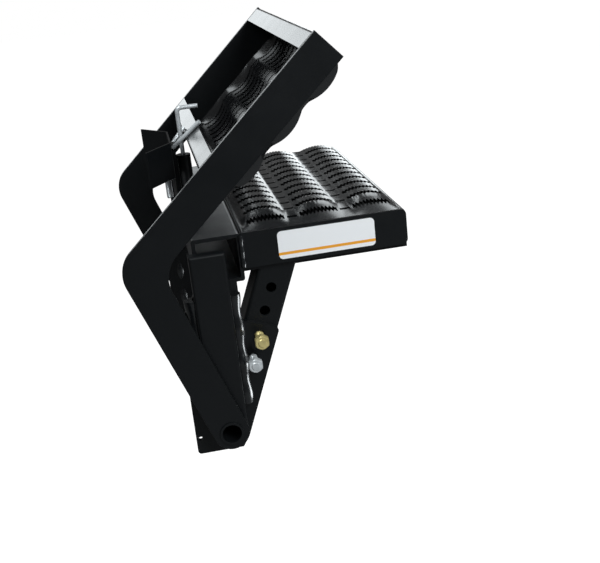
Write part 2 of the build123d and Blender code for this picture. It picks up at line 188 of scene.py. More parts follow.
class TreadSettings(bpy.types.PropertyGroup):
    """Sizes of the folded grip planks."""

    width: length("Width", "Plank width across the treads", 176 * MM)
    depth: length("Depth", "Depth of the side rails", 38.1 * MM)
    gauge: length("Gauge", "Thickness of the folded sheet", 3.4 * MM)
    bend: length("Bend", "Outside radius of the folds", 5 * MM)
    lip: length("Lip", "Width of the inward lips", 22 * MM)
    hump_rows: IntProperty(name="Hump rows", description="Rows of humps across the plank", default=3, min=1)
    hump_width: length("Hump width", "Width of a hump at its foot", 46 * MM)
    hump_height: length("Hump height", "Rise of a hump over the border strips", 11 * MM)
    hump_pitch: length("Hump pitch", "Distance between rows of humps", 57 * MM)
    valley_height: length("Valley height", "Rise of the valleys over the border strips", 4.8 * MM)
    side_run: length("Side run", "Run of the raised panel's sides over the full height", 11 * MM)
    near_ramp: length("Near ramp", "Run of the upper plank's near end over the full height", 40 * MM)
    far_ramp: length("Far ramp", "Run of the upper plank's far end over the full height", 22 * MM)
    lower_ramp: length("Lower ramp", "Run of the lower plank's ends over the full height", 6 * MM)
    upper_margin: length("Upper margin", "Least sheet past the upper plank's last slit", 11.5 * MM)
    lower_margin: length("Lower margin", "Least sheet past the lower plank's last slit", 12 * MM)
    rim: length("Rim", "Solid foot of a hump beside its slits", 3 * MM)
    slit_pitch: length("Slit pitch", "Distance between slits", 25.4 * MM)
    slit_width: length("Slit width", "Width of a slit", 9.2 * MM)
    slot_width: length("Slot width", "Valley slot, across the plank", 11 * MM)
    slot_length: length("Slot length", "Length of a valley's slot along the plank", 5.0 * MM)
    teeth: IntProperty(name="Teeth", description="Teeth on one edge of a strand", default=10, min=1)
    tooth: length("Tooth", "Swing of a toothed edge along the plank", 2.8 * MM)
    foot_blend: length("Foot blend", "Softness of the foot of a hump", 1.2 * MM)


class FastenerSettings(bpy.types.PropertyGroup):
    """Sizes of the bolts and nuts."""

    brace_size: length("Brace bolt", "Thread size of the brace bolts", 9.5 * MM)
    brace_flats: length("Brace flats", "Brace bolt head and nut across flats", 14.3 * MM)
    brace_head: length("Brace head", "Height of a brace bolt's head", 6.2 * MM)
    brace_shaft: length("Brace shaft", "Length of a brace bolt under its head", 68.45 * MM)
    brace_thread: length("Brace thread", "Threaded length of a brace bolt", 32 * MM)
    brace_nut: length("Brace nut", "Height of a brace nut", 8.3 * MM)
    brace_setback: length("Brace setback", "Bolt tip past its nut", 1 * MM)
    brace_pitch: length("Brace pitch", "Thread pitch of the brace bolts", 1.59 * MM)
    guard_size: length("Guard bolt", "Thread size of the guard's bolt", 7.9 * MM)
    guard_flats: length("Guard flats", "Guard bolt head and nut across flats", 12.7 * MM)
    guard_head: length("Guard head", "Height of the guard bolt's head", 5 * MM)
    guard_pitch: length("Guard pitch", "Thread pitch of the guard's bolt", 1.41 * MM)


class BeadSettings(bpy.types.PropertyGroup):
    """Sizes of the weld beads."""

    heavy: length("Heavy bead", "Radius of the beads along the legs", 7.5 * MM)
    medium: length("Medium bead", "Radius of the beads round the upper step", 2.6 * MM)
    light: length("Light bead", "Radius of the beads on the latch", 1.5 * MM)
    ripple: FloatProperty(
        name="Ripple", description="Swing of a bead's radius", default=0.12, min=0.0, max=0.5
    )
    stretch: FloatProperty(name="Stretch", description="Ripple length over bead radius", default=5.0, min=1.0)


class FinishSettings(bpy.types.PropertyGroup):
    """Colours of the coats and platings."""

    coat: colour("Coat", "Satin black powder coat", (0.0052, 0.0060, 0.0068))
    tread: colour("Tread coat", "Glossier black of the grip planks", (0.010, 0.0105, 0.0115))
    zinc: colour("Zinc", "Bright zinc plating", (0.76, 0.79, 0.81))
    gold: colour("Yellow zinc", "Yellow passivated zinc", (0.74, 0.62, 0.27))
    label: colour("Label", "White label stock", (0.9, 0.9, 0.91))
    band: colour("Label band", "Plain band on the label", (0.86, 0.36, 0.03))


class StudioSettings(bpy.types.PropertyGroup):
    """Floor, lamps and camera."""

    drop: length("Floor drop", "Floor below the hitch pin", 0.62)
    lens: FloatProperty(name="Lens", description="Focal length of the camera in mm", default=61.75, min=1.0)
    light: FloatProperty(name="Light", description="Share of every lamp's power", default=1.0, min=0.0)


class StepSettings(bpy.types.PropertyGroup):
    """Everything a user would change."""

    tread: PointerProperty(type=TreadSettings)
    fastener: PointerProperty(type=FastenerSettings)
    bead: PointerProperty(type=BeadSettings)
    finish: PointerProperty(type=FinishSettings)
    studio: PointerProperty(type=StudioSettings)


# Node helpers


def join(tree, start, end):
    """Links an output socket to an input socket."""
    tree.links.new(end, start)


def node(tree, kind, **values):
    """Adds a node and sets its own properties."""
    made = tree.nodes.new(kind)
    for name, value in values.items():
        setattr(made, name, value)
    return made


def math_node(tree, operation, first, second):
    """A Math node whose inputs are numbers or sockets."""
    made = node(tree, "ShaderNodeMath", operation=operation)
    for socket, value in zip(made.inputs, (first, second)):
        if isinstance(value, (int, float)):
            socket.default_value = value
        else:
            join(tree, value, socket)
    return made.outputs[0]


def new_tree(name, kind, inputs, outputs):
    """An empty node group with named sockets, and its two end nodes."""
    tree = bpy.data.node_groups.new(name, kind)
    for label, socket in inputs:
        tree.interface.new_socket(name=label, in_out="INPUT", socket_type=socket)
    for label, socket in outputs:
        tree.interface.new_socket(name=label, in_out="OUTPUT", socket_type=socket)
    return tree, tree.nodes.new("NodeGroupInput"), tree.nodes.new("NodeGroupOutput")


def finish_shape(tree, shape, finish, output):
    """Ends a geometry tree with real meshes in one material."""
    solid = node(tree, "GeometryNodeRealizeInstances")
    join(tree, shape, solid.inputs[0])
    coat = node(tree, "GeometryNodeSetMaterial")
    join(tree, solid.outputs[0], coat.inputs["Geometry"])
    join(tree, finish, coat.inputs["Material"])
    join(tree, coat.outputs[0], output)


def baked(tree, base, values, name):
    """Runs a geometry tree on an object and gives the result as a plain mesh."""
    modifier = base.modifiers.new(tree.name, "NODES")
    modifier.node_group = tree
    for item in tree.interface.items_tree:
        if item.in_out == "INPUT" and item.name in values:
            modifier[item.identifier] = values[item.name]
    shown = base.evaluated_get(bpy.context.evaluated_depsgraph_get())
    mesh = bpy.data.meshes.new_from_object(shown)
    mesh.name = name
    base.modifiers.remove(modifier)
    return mesh


def link_object(name, data):
    """A new object in the scene's own collection."""
    made = bpy.data.objects.new(name, data)
    bpy.context.scene.collection.objects.link(made)
    return made


def mesh_from(name, points, faces):
    """A mesh from points in metres and faces."""
    mesh = bpy.data.meshes.new(name)
    mesh.from_pydata([tuple(point) for point in points], [], faces)
    mesh.update()
    return mesh


# Shared shader effects


def coat_texture_group():
    """Fine orange peel, cloudy gloss and specks of dust, as powder coat shows."""
    name = "coat_texture"
    if name in bpy.data.node_groups:
        return bpy.data.node_groups[name]
    tree, start, end = new_tree(
        name,
        "ShaderNodeTree",
        [("Colour", "NodeSocketColor"), ("Peel Scale", "NodeSocketFloat"), ("Gloss Low", "NodeSocketFloat"),
         ("Gloss High", "NodeSocketFloat"), ("Dust", "NodeSocketFloat")],
        [("Colour", "NodeSocketColor"), ("Roughness", "NodeSocketFloat"), ("Height", "NodeSocketFloat")],
    )
    place = node(tree, "ShaderNodeTexCoord")
    peel = node(tree, "ShaderNodeTexNoise")
    peel.inputs["Detail"].default_value = 2.0
    cloud = node(tree, "ShaderNodeTexNoise")
    cloud.inputs["Scale"].default_value = 28.0
    cloud.inputs["Detail"].default_value = 4.0
    speck = node(tree, "ShaderNodeTexNoise")
    speck.inputs["Scale"].default_value = 900.0
    for texture in (peel, cloud, speck):
        join(tree, place.outputs["Object"], texture.inputs["Vector"])
    join(tree, start.outputs["Peel Scale"], peel.inputs["Scale"])
    join(tree, peel.outputs["Fac"], end.inputs["Height"])

    gloss = node(tree, "ShaderNodeMapRange")
    gloss.inputs["From Min"].default_value = 0.3
    gloss.inputs["From Max"].default_value = 0.7
    join(tree, cloud.outputs["Fac"], gloss.inputs["Value"])
    join(tree, start.outputs["Gloss Low"], gloss.inputs["To Min"])
    join(tree, start.outputs["Gloss High"], gloss.inputs["To Max"])
    join(tree, gloss.outputs["Result"], end.inputs["Roughness"])

    fleck = node(tree, "ShaderNodeMapRange")
    fleck.inputs["From Min"].default_value = 0.66
    fleck.inputs["From Max"].default_value = 0.8
    join(tree, speck.outputs["Fac"], fleck.inputs["Value"])
    amount = math_node(tree, "MULTIPLY", fleck.outputs["Result"], start.outputs["Dust"])
    mix = node(tree, "ShaderNodeMix", data_type="RGBA")
    mix.inputs[MIX_SECOND].default_value = (0.22, 0.22, 0.22, 1)
    join(tree, amount, mix.inputs[0])
    join(tree, start.outputs["Colour"], mix.inputs[MIX_FIRST])
    join(tree, mix.outputs[MIX_RESULT], end.inputs["Colour"])
    return tree


def shader(name):
    """A new material with its node tree and its Principled shader."""
    material = bpy.data.materials.new(name)
    material.use_nodes = True
    return material, material.node_tree, material.node_tree.nodes["Principled BSDF"]


def coated(name, tint, peel, bump, low, high, dust, specular):
    """A black coat whose grain comes from the shared coat texture."""
    material, tree, principled = shader(name)
    texture = node(tree, "ShaderNodeGroup", node_tree=coat_texture_group())
    texture.inputs["Colour"].default_value = (*tint, 1)
    texture.inputs["Peel Scale"].default_value = peel
    texture.inputs["Gloss Low"].default_value = low
    texture.inputs["Gloss High"].default_value = high
    texture.inputs["Dust"].default_value = dust
    raised = node(tree, "ShaderNodeBump")
    raised.inputs["Strength"].default_value = bump
    raised.inputs["Distance"].default_value = PEEL_DEPTH
    join(tree, texture.outputs["Height"], raised.inputs["Height"])
    join(tree, texture.outputs["Colour"], principled.inputs["Base Color"])
    join(tree, texture.outputs["Roughness"], principled.inputs["Roughness"])
    join(tree, raised.outputs["Normal"], principled.inputs["Normal"])
    principled.inputs["Specular IOR Level"].default_value = specular
    return material


def plated(name, tint, upper, level):
    """Cloudy zinc plating, with an upper tint over a level of Object Z."""
    material, tree, principled = shader(name)
    place = node(tree, "ShaderNodeTexCoord")
    split = node(tree, "ShaderNodeSeparateXYZ")
    join(tree, place.outputs["Object"], split.inputs[0])
    cloud = node(tree, "ShaderNodeTexNoise")
    cloud.inputs["Scale"].default_value = 160.0
    cloud.inputs["Detail"].default_value = 5.0
    join(tree, place.outputs["Object"], cloud.inputs["Vector"])
    tints = node(tree, "ShaderNodeMix", data_type="RGBA")
    tints.inputs[MIX_FIRST].default_value = (*tint, 1)
    tints.inputs[MIX_SECOND].default_value = (*upper, 1)
    join(tree, math_node(tree, "GREATER_THAN", split.outputs["Z"], level), tints.inputs[0])
    shade = node(tree, "ShaderNodeMapRange")
    shade.inputs["From Min"].default_value = 0.3
    shade.inputs["From Max"].default_value = 0.65
    shade.inputs["To Min"].default_value = 0.75
    join(tree, cloud.outputs["Fac"], shade.inputs["Value"])
    cloudy = node(tree, "ShaderNodeMix", data_type="RGBA", blend_type="MULTIPLY")
    cloudy.inputs[0].default_value = 1.0
    join(tree, tints.outputs[MIX_RESULT], cloudy.inputs[MIX_FIRST])
    join(tree, shade.outputs["Result"], cloudy.inputs[MIX_SECOND])
    join(tree, cloudy.outputs[MIX_RESULT], principled.inputs["Base Color"])
    principled.inputs["Roughness"].default_value = 0.3
    principled.inputs["Metallic"].default_value = 0.45
    return material


def materials():
    """Every finish by name, made once."""
    finish = bpy.context.scene.receiver_step.finish
    if "satin_black_coat" not in bpy.data.materials:
        low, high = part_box("brace_nuts")
        # The cut edges take the tread coat darkened, painted shade for the slits
        dark = tuple(EDGE_PAINTED_SHADE * part for part in finish.tread)
        for (name, values), tint in zip(COATS.items(), (finish.coat, finish.tread, dark, finish.coat)):
            coated(name, tint, *values)
        plated("bright_zinc", finish.zinc, finish.zinc, 0.0)
        plated("brace_zinc", finish.zinc, finish.gold, (low.z + high.z) / 2)
        label_stock()
    return bpy.data.materials


def label_stock():
    """White label with one plain band along its foot."""
    finish = bpy.context.scene.receiver_step.finish
    material, tree, principled = shader("white_label")
    low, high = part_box("label")
    place = node(tree, "ShaderNodeTexCoord")
    split = node(tree, "ShaderNodeSeparateXYZ")
    join(tree, place.outputs["Object"], split.inputs[0])
    rise = math_node(tree, "DIVIDE", math_node(tree, "SUBTRACT", split.outputs["Z"], low.z), high.z - low.z)
    ramp = node(tree, "ShaderNodeValToRGB")
    ramp.color_ramp.interpolation = "CONSTANT"
    steps = ((0.0, finish.label), (BAND_FOOT, finish.band), (BAND_HEAD, finish.label))
    while len(ramp.color_ramp.elements) < len(steps):
        ramp.color_ramp.elements.new(0.5)
    for element, (position, tint) in zip(ramp.color_ramp.elements, steps):
        element.position = position
        element.color = (*tint, 1)
    join(tree, rise, ramp.inputs["Fac"])
    join(tree, ramp.outputs["Color"], principled.inputs["Base Color"])
    principled.inputs["Roughness"].default_value = 0.35
    return material


# Grip planks


def humps(tread):
    """The middle of each row of humps, across the plank."""
    return [(row - (tread.hump_rows - 1) / 2) * tread.hump_pitch for row in range(tread.hump_rows)]


def valleys(tread):
    """The middle of each valley between two rows of humps."""
    rows = humps(tread)
    return [(low + high) / 2 for low, high in zip(rows, rows[1:])]


def slit_reach(tread):
    """Half the length of a slit across a hump."""
    return tread.hump_width / 2 - tread.rim


def nearest(places, across):
    """The place nearest to a point across the plank."""
    return min(places, key=lambda place: abs(across - place))


def hump_radius(tread):
    """Radius of a hump's round top."""
    rise = tread.hump_height - tread.valley_height
    return (tread.hump_width**2 / 4 + rise**2) / (2 * rise)


def panel_height(tread, across):
    """Rise of the raised panel over the border strips, blended softly where its faces meet."""
    radius, blend = hump_radius(tread), tread.foot_blend
    offset = across - nearest(humps(tread), across)
    arch = tread.hump_height - radius + sqrt(radius**2 - offset**2)
    panel = (arch + tread.valley_height + hypot(arch - tread.valley_height, blend)) / 2
    side = (tread.width / 2 - tread.bend - abs(across)) * tread.hump_height / tread.side_run
    return max((panel + side - hypot(panel - side, blend)) / 2, 0.0)


def top_places(tread):
    """Places across the plank's top between its folds: several to a tooth on the humps, fewer beside them."""
    fold, slit = tread.width / 2 - tread.bend, slit_reach(tread)
    steps = TOOTH_STEPS * tread.teeth
    places = [-fold, fold]
    for middle in humps(tread):
        places += [middle - slit + 2 * slit * step / steps for step in range(steps + 1)]
        places += [middle + side * (slit + tread.rim * share) for side in (-1, 1) for share in FLANK_SHARES]
    for middle in valleys(tread):
        places += [middle + tread.slot_width * share for share in SLOT_SHARES]
    places = sorted(place for place in places if abs(place) <= fold)
    return places[:1] + [place for before, place in zip(places, places[1:]) if place - before > PLACE_GAP]


def plank_section(tread):
    """Points across the plank, from one lip's edge over the top to the other's, as (across, height)."""
    half, fold = tread.width / 2, tread.width / 2 - tread.bend
    turn = [pi / 2 * step / FOLD_STEPS for step in range(1, FOLD_STEPS + 1)]
    side = [(fold + tread.bend * sin(angle), tread.bend * (cos(angle) - 1)) for angle in turn]
    rail = tread.depth - 2 * tread.bend
    side += [(half, -tread.bend - rail * step / RAIL_STEPS) for step in range(1, RAIL_STEPS + 1)]
    low = tread.bend - tread.depth
    side += [(fold + tread.bend * cos(angle), low - tread.bend * sin(angle)) for angle in turn]
    lip = tread.lip - tread.bend
    side += [(fold - lip * step / LIP_STEPS, -tread.depth) for step in range(1, LIP_STEPS + 1)]
    return [(-across, height) for across, height in reversed(side)] + [
        (across, 0.0) for across in top_places(tread)
    ] + side


def tooth_wave(tread, offset):
    """A zigzag from -1 to 1 along a slit, nought at the slit's ends."""
    slit = slit_reach(tread)
    phase = (offset + slit) / (2 * slit) * tread.teeth % 1
    return 4 * abs((phase + 0.75) % 1 - 0.5) - 1


def sheet_point(tread, across, height, along, edge, share):
    """A point of the plank's outer face, at a distance from a toothed edge, with its share of the height."""
    if height < 0 or abs(across) >= tread.width / 2 - tread.bend:
        return Vector((across, along, height))
    reach, offset = slit_reach(tread), across - nearest(humps(tread), across)
    if -EDGE_SLACK < edge < TOOTH_REACH and abs(offset) < reach:
        near = (1 - edge / TOOTH_REACH) * min(1.0, (reach - abs(offset)) / TOOTH_FADE)
        along += tread.tooth * tooth_wave(tread, offset) * near
    return Vector((across, along, panel_height(tread, across) * share(along)))


def sheet_mesh(tread, name, spans):
    """Parts of a plank, each a span of (rows along it, slit middles, share of the height along it)."""
    section = plank_section(tread)
    points, faces = [], []
    for rows, stations, share in spans:
        shift = len(points)
        for along in rows:
            edge = abs(along - nearest(stations, along)) - tread.slit_width / 2
            points += [sheet_point(tread, *place, along, edge, share) for place in section]
        grid = sheet_faces(tread, section, rows, stations)
        faces += [tuple(shift + corner for corner in face) for face in grid]
    return mesh_from(name, points, faces)


def sheet_faces(tread, section, rows, stations):
    """Grid faces between rows, left open at the slits and slots around the given slit middles."""
    faces = []
    for row, (low, high) in enumerate(zip(rows, rows[1:])):
        away = abs((low + high) / 2 - nearest(stations, (low + high) / 2))
        for column, ((left, one), (right, other)) in enumerate(zip(section, section[1:])):
            mid = (left + right) / 2
            top = one == 0 and other == 0
            hump, valley = nearest(humps(tread), mid), nearest(valleys(tread), mid)
            slit = away < tread.slit_width / 2 and abs(mid - hump) < slit_reach(tread)
            slot = away < tread.slot_length / 2 and abs(mid - valley) < tread.slot_width / 2
            if not (top and (slit or slot)):
                first = row * len(section) + column
                faces.append((first, first + 1, first + 1 + len(section), first + len(section)))
    return faces


def slit_rows(tread, station):
    """Places along a plank around one slit: its middle, toothed edges, their reach, and the slot's ends."""
    edge = tread.slit_width / 2
    ahead = (tread.slot_length / 2, edge, edge + TOOTH_REACH)
    return [station] + [station + way * place for way in (-1, 1) for place in ahead]


def strand_mesh(tread):
    """One strand, from the middle of a slit to the middle of the next, over the whole plank section."""
    half = tread.slit_pitch / 2
    rows = slit_rows(tread, -half) + slit_rows(tread, half)
    rows = sorted(row for row in rows if abs(row) <= half + EDGE_SLACK)
    return sheet_mesh(tread, "strand", [(rows, (-half, half), lambda along: 1.0)])


def ends_mesh(tread, last, whole, ramps):
    """Both ends of a plank of a whole length, from the last slit but one down the ramps to the border."""
    spans, end = [], whole / 2
    for way, ramp in zip((-1, 1), ramps):
        inner = last - tread.slit_pitch
        stations = [way * inner, way * last]
        rows = slit_rows(tread, inner) + slit_rows(tread, last)
        top = max(rows)
        rows += [end - ramp * share for share in RAMP_SHARES if end - ramp * share > top + RAMP_GAP]
        rows = [row for row in rows if inner - EDGE_SLACK <= row < end - EDGE_SLACK] + [end]
        rows = sorted(way * row for row in rows)
        spans.append((rows, stations, lambda along, ramp=ramp: max(0.0, min(1.0, (end - abs(along)) / ramp))))
    return sheet_mesh(tread, "plank_ends", spans)


def plank_tree():
    """Sets strands side by side along a plank and joins its ends to them."""
    tree, start, end = new_tree(
        "plank_from_strands",
        "GeometryNodeTree",
        [("Strand", "NodeSocketGeometry"), ("Ends", "NodeSocketObject"), ("Count", "NodeSocketInt"),
         ("Pitch", "NodeSocketFloat"), ("First", "NodeSocketFloat"), ("Finish", "NodeSocketMaterial")],
        [("Plank", "NodeSocketGeometry")],
    )
    line = node(tree, "GeometryNodeMeshLine", mode="OFFSET")
    first, pitch = node(tree, "ShaderNodeCombineXYZ"), node(tree, "ShaderNodeCombineXYZ")
    join(tree, start.outputs["First"], first.inputs["Y"])
    join(tree, start.outputs["Pitch"], pitch.inputs["Y"])
    join(tree, start.outputs["Count"], line.inputs["Count"])
    join(tree, first.outputs[0], line.inputs["Start Location"])
    join(tree, pitch.outputs[0], line.inputs["Offset"])
    copies = node(tree, "GeometryNodeInstanceOnPoints")
    join(tree, line.outputs["Mesh"], copies.inputs["Points"])
    join(tree, start.outputs["Strand"], copies.inputs["Instance"])
    ends = node(tree, "GeometryNodeObjectInfo")
    join(tree, start.outputs["Ends"], ends.inputs["Object"])
    both = node(tree, "GeometryNodeJoinGeometry")
    join(tree, ends.outputs["Geometry"], both.inputs[0])
    join(tree, copies.outputs[0], both.inputs[0])
    finish_shape(tree, both.outputs[0], start.outputs["Finish"], end.inputs["Plank"])
    return tree


def grip_plank(tread, tree, name, place, whole, ramps, margin, edge):
    """A plank of a whole length, folded from sheet with its cut edges finished, and set in its place."""
    count = int((whole - 2 * margin - tread.slit_width) / tread.slit_pitch) + 1
    last = (count - 1) / 2 * tread.slit_pitch
    strand = link_object(name + "_strand", strand_mesh(tread))
    ends = link_object(name + "_ends", ends_mesh(tread, last, whole, ramps))
    # Each end reaches in to the last slit but one, so the strands between them are three fewer than the slits
    values = {
        "Ends": ends,
        "Count": count - 3,
        "Pitch": tread.slit_pitch,
        "First": 1.5 * tread.slit_pitch - last,
        "Finish": materials()["gloss_tread_coat"],
    }
    mesh = baked(tree, strand, values, name)
    for spent in (strand, ends):
        old = spent.data
        bpy.data.objects.remove(spent)
        bpy.data.meshes.remove(old)
    work = bmesh.new()
    work.from_mesh(mesh)
    bmesh.ops.remove_doubles(work, verts=work.verts, dist=MERGE_GAP)
    bmesh.ops.transform(work, matrix=place, verts=work.verts)
    work.to_mesh(mesh)
    work.free()
    plank = link_object(name, mesh)
    wall = plank.modifiers.new("Sheet", "SOLIDIFY")
    wall.thickness = tread.gauge
    wall.offset = -1
    # The sheet's rim, its cut edges, takes the edge finish: on the upper plank a dark one painted as the
    # shade in its slits
    mesh.materials.append(materials()[edge])
    wall.material_offset_rim = 1
    thick = bpy.data.meshes.new_from_object(plank.evaluated_get(bpy.context.evaluated_depsgraph_get()))
    plank.modifiers.remove(wall)
    plank.data = thick
    bpy.data.meshes.remove(mesh)
    thick.name = name
    thick.shade_smooth()
    thick.set_sharp_from_angle(angle=radians(SHARP_ANGLE))
    return plank


class RECEIVERSTEP_OT_grip_planks(bpy.types.Operator):
    """Folds the two grip planks of the treads"""

    bl_idname = "receiver_step.grip_planks"
    bl_label = "Grip planks"

    def execute(self, context):
        """Sets the upper plank level and the lower one along the folded arms."""
        tread = context.scene.receiver_step.tread
        tree = plank_tree()
        low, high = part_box("upper_tread")
        upper = Matrix.Translation(((low.x + high.x) / 2, (low.y + high.y) / 2, high.z - tread.hump_height))
        ramps = (tread.near_ramp, tread.far_ramp)
        whole, margin = high.y - low.y, tread.upper_margin
        # The upper plank's cut edges are painted dark, as the shade in its slits
        plank = grip_plank(tread, tree, "upper_grip_plank", upper, whole, ramps, margin, "cut_edge")
        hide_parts("upper_tread")
        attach(plank, "frame")

        fold = next(joint for joint in frame["joints"] if joint["name"] == "fold")
        slope = radians(180 - fold["range_deg"][1])
        limb, facing = Vector((cos(slope), 0, sin(slope))), Vector((sin(slope), 0, -cos(slope)))
        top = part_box("arm_near")[1]
        half = tread.depth / 2
        tip = Vector((top.x - half * sin(slope), 0, top.z - half * cos(slope)))
        middle = tip - limb * (tread.width / 2) + facing * half
        along = facing.cross(limb)
        lower = Matrix((limb, along, facing)).transposed().to_4x4()
        lower.translation = middle
        low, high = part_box("lower_tread")
        ramps = (tread.lower_ramp, tread.lower_ramp)
        whole, margin = high.y - low.y, tread.lower_margin
        plank = grip_plank(tread, tree, "lower_grip_plank", lower, whole, ramps, margin, "gloss_tread_coat")
        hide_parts("lower_tread")
        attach(plank, "folding_step")
        return {"FINISHED"}


# Bolts and nuts


def hex_reach(flats, turn):
    """Distance from a hexagon's middle to its side, at an angle from a flat's middle."""
    return flats / 2 / cos((turn + pi / 6) % (pi / 3) - pi / 6)


def hex_rings(flats, low, high):
    """Rings of a hexagonal prism with its corners cut back at both ends, as (height, reach at a turn)."""
    cut = (high - low) / CUTS_TO_HEIGHT

    def ring(height, limit):
        return height, lambda turn: min(hex_reach(flats, turn), limit)

    face, middle, full = CORNER_FACE * flats, CORNER_MIDDLE * flats, CORNER_FULL * flats
    return [ring(low, face), ring(low + cut / 2, middle), ring(low + cut, full),
            ring(high - cut, full), ring(high - cut / 2, middle), ring(high, face)]


def thread_rings(size, pitch, low, high):
    """Rings of a screw thread that runs up from low to high."""
    steps = int((high - low) / pitch * THREAD_RINGS)
    rings = []
    for step in range(steps + 1):
        height = low + (high - low) * step / steps

        def reach(turn, height=height):
            phase = (height / pitch - turn / (2 * pi)) % 1
            return size / 2 - THREAD_SHARE * pitch * (1 - abs(2 * phase - 1))

        rings.append((height, reach))
    return rings


def round_ring(size, height):
    """A plain round ring."""
    return height, lambda turn: size / 2


def add_rings(points, faces, rings, closed):
    """Lofts rings into a skin, capped at both ends, or closed on itself."""
    shift = len(points)
    for height, reach in rings:
        for step in range(RING_STEPS):
            turn = 2 * pi * step / RING_STEPS
            points.append((reach(turn) * cos(turn), reach(turn) * sin(turn), height))
    count = len(rings)
    for ring in range(count if closed else count - 1):
        low, high = shift + ring * RING_STEPS, shift + (ring + 1) % count * RING_STEPS
        for step in range(RING_STEPS):
            after = (step + 1) % RING_STEPS
            faces.append((low + step, low + after, high + after, high + step))
    if not closed:
        faces.append(tuple(shift + step for step in reversed(range(RING_STEPS))))
        faces.append(tuple(shift + (count - 1) * RING_STEPS + step for step in range(RING_STEPS)))


def fastener_mesh(name, size, flats, head, shaft, thread, pitch, nut_low, nut_high):
    """A bolt along Z, seated at nought, with its nut."""
    points, faces = [], []
    tip = shaft - TIP_LENGTH * size
    rings = hex_rings(flats, -head, 0.0) + [round_ring(size, 0.0), round_ring(size, shaft - thread)]
    rings += thread_rings(size, pitch, shaft - thread, tip) + [round_ring(TIP_SIZE * size, shaft)]
    add_rings(points, faces, rings, False)
    bore = size - 2 * THREAD_SHARE * pitch
    nut = hex_rings(flats, nut_low, nut_high) + [round_ring(bore, nut_high), round_ring(bore, nut_low)]
    add_rings(points, faces, nut, True)
    return mesh_from(name, points, faces)


def fastener_tree():
    """Sets one fastener at every point, turned to the way that the point faces."""
    tree, start, end = new_tree(
        "fasteners_at_points",
        "GeometryNodeTree",
        [("Points", "NodeSocketGeometry"), ("Fastener", "NodeSocketObject"),
         ("Finish", "NodeSocketMaterial")],
        [("Fasteners", "NodeSocketGeometry")],
    )
    facing = node(tree, "GeometryNodeInputNamedAttribute", data_type="FLOAT_VECTOR")
    facing.inputs["Name"].default_value = "facing"
    turn = node(tree, "FunctionNodeAlignRotationToVector", axis="Z")
    join(tree, facing.outputs["Attribute"], turn.inputs["Vector"])
    shape = node(tree, "GeometryNodeObjectInfo")
    join(tree, start.outputs["Fastener"], shape.inputs["Object"])
    dots = node(tree, "GeometryNodeMeshToPoints")
    join(tree, start.outputs["Points"], dots.inputs["Mesh"])
    copies = node(tree, "GeometryNodeInstanceOnPoints")
    join(tree, dots.outputs["Points"], copies.inputs["Points"])
    join(tree, shape.outputs["Geometry"], copies.inputs["Instance"])
    join(tree, turn.outputs["Rotation"], copies.inputs["Rotation"])
    finish_shape(tree, copies.outputs[0], start.outputs["Finish"], end.inputs["Fasteners"])
    return tree


def fasteners(tree, name, shape, seats, finish):
    """One mesh of like fasteners, seated at points that each face a way."""
    mould = link_object(name + "_shape", shape)
    marks = mesh_from(name + "_seats", [place for place, way in seats], [])
    facing = marks.attributes.new("facing", "FLOAT_VECTOR", "POINT")
    for value, (place, way) in zip(facing.data, seats):
        value.vector = way
    base = link_object(name, marks)
    base.data = baked(tree, base, {"Fastener": mould, "Finish": materials()[finish]}, name)
    bpy.data.objects.remove(mould)
    bpy.data.meshes.remove(shape)
    bpy.data.meshes.remove(marks)
    base.data.shade_smooth()
    base.data.set_sharp_from_angle(angle=radians(SHARP_ANGLE))
    return base


class RECEIVERSTEP_OT_fasteners(bpy.types.Operator):
    """Makes the threaded bolts and their nuts"""

    bl_idname = "receiver_step.fasteners"
    bl_label = "Bolts and nuts"

    def execute(self, context):
        """Sets four bolts through the braces and one under the guard."""
        bolt = context.scene.receiver_step.fastener
        tree = fastener_tree()
        low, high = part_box("brace_nuts")
        flat, corner = bolt.brace_flats / 2, bolt.brace_flats / sqrt(3)
        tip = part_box("brace_bolts")[1].y
        seats = []
        for x, z in ((low.x + flat, low.z + corner), (high.x - flat, high.z - corner)):
            seats += [((x, way * (tip - bolt.brace_shaft), z), (0, way, 0)) for way in (-1, 1)]
        nut_high = bolt.brace_shaft - bolt.brace_setback
        shape = fastener_mesh(
            "brace_fastener", bolt.brace_size, bolt.brace_flats, bolt.brace_head, bolt.brace_shaft,
            bolt.brace_thread, bolt.brace_pitch, nut_high - bolt.brace_nut, nut_high,
        )
        made = fasteners(tree, "brace_bolts_and_nuts", shape, seats, "brace_zinc")
        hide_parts("brace_bolts", "brace_nuts")
        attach(made, "frame")

        low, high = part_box("guard_bolt")
        nut_low, nut_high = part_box("guard_nut")
        seat = high.z - bolt.guard_head
        shape = fastener_mesh(
            "guard_fastener", bolt.guard_size, bolt.guard_flats, bolt.guard_head, seat - low.z,
            seat - nut_high.z - low.z + nut_low.z, bolt.guard_pitch, seat - nut_high.z, seat - nut_low.z,
        )
        place = ((low.x + high.x) / 2, (low.y + high.y) / 2, seat)
        made = fasteners(tree, "guard_bolt_and_nut", shape, [(place, (0, 0, -1))], "bright_zinc")
        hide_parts("guard_bolt", "guard_nut")
        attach(made, "folding_step")
        return {"FINISHED"}


# Weld beads


